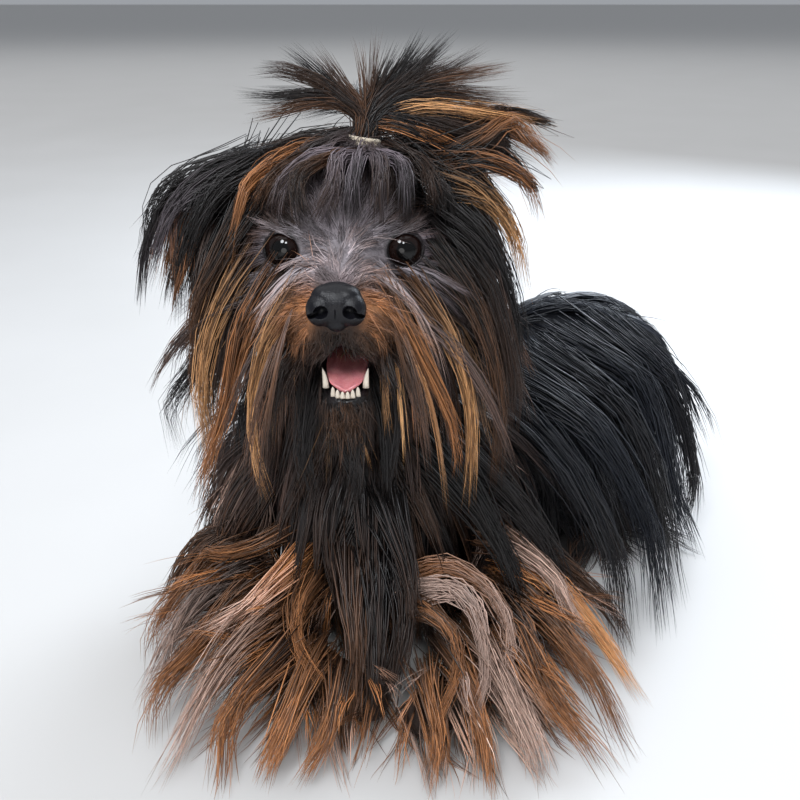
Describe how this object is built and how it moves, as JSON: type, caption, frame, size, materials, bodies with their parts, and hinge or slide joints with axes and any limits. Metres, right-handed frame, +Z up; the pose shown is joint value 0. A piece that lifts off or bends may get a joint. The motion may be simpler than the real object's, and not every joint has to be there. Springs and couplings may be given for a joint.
{
  "type": "yorkshire terrier",
  "caption": "Life-size long-coated toy terrier lying down, head up and mouth open, forelegs forward, hair tied in a topknot.",
  "frame": {"origin": "centre of the bottom of the box, on the floor the dog lies on", "axes": "+Z up, the dog faces -Y, its left side is towards +X"},
  "size_m": [0.3006, 0.3324, 0.2488],
  "materials": {
    "dark_coat": "long glossy blue-black hair",
    "tan_coat": "long tan and golden hair",
    "face_coat": "grey-brown hair streaked with tan",
    "eye": "wet dark brown",
    "nose_leather": "moist black pebbled skin",
    "tongue": "wet pink",
    "elastic": "cream elastic band"
  },
  "bodies": {
    "root": {"head": "face_coat", "ear_right": "dark_coat", "ear_left": "dark_coat", "eye_right": "eye", "eye_left": "eye", "nose": "nose_leather", "tongue": "tongue", "topknot": "face_coat", "hair_band": "elastic", "neck": "dark_coat", "torso": "dark_coat", "tail": "dark_coat", "foreleg_right": "tan_coat", "foreleg_left": "tan_coat", "hindleg_right": "dark_coat", "hindleg_left": "dark_coat"}
  },
  "joints": []
}
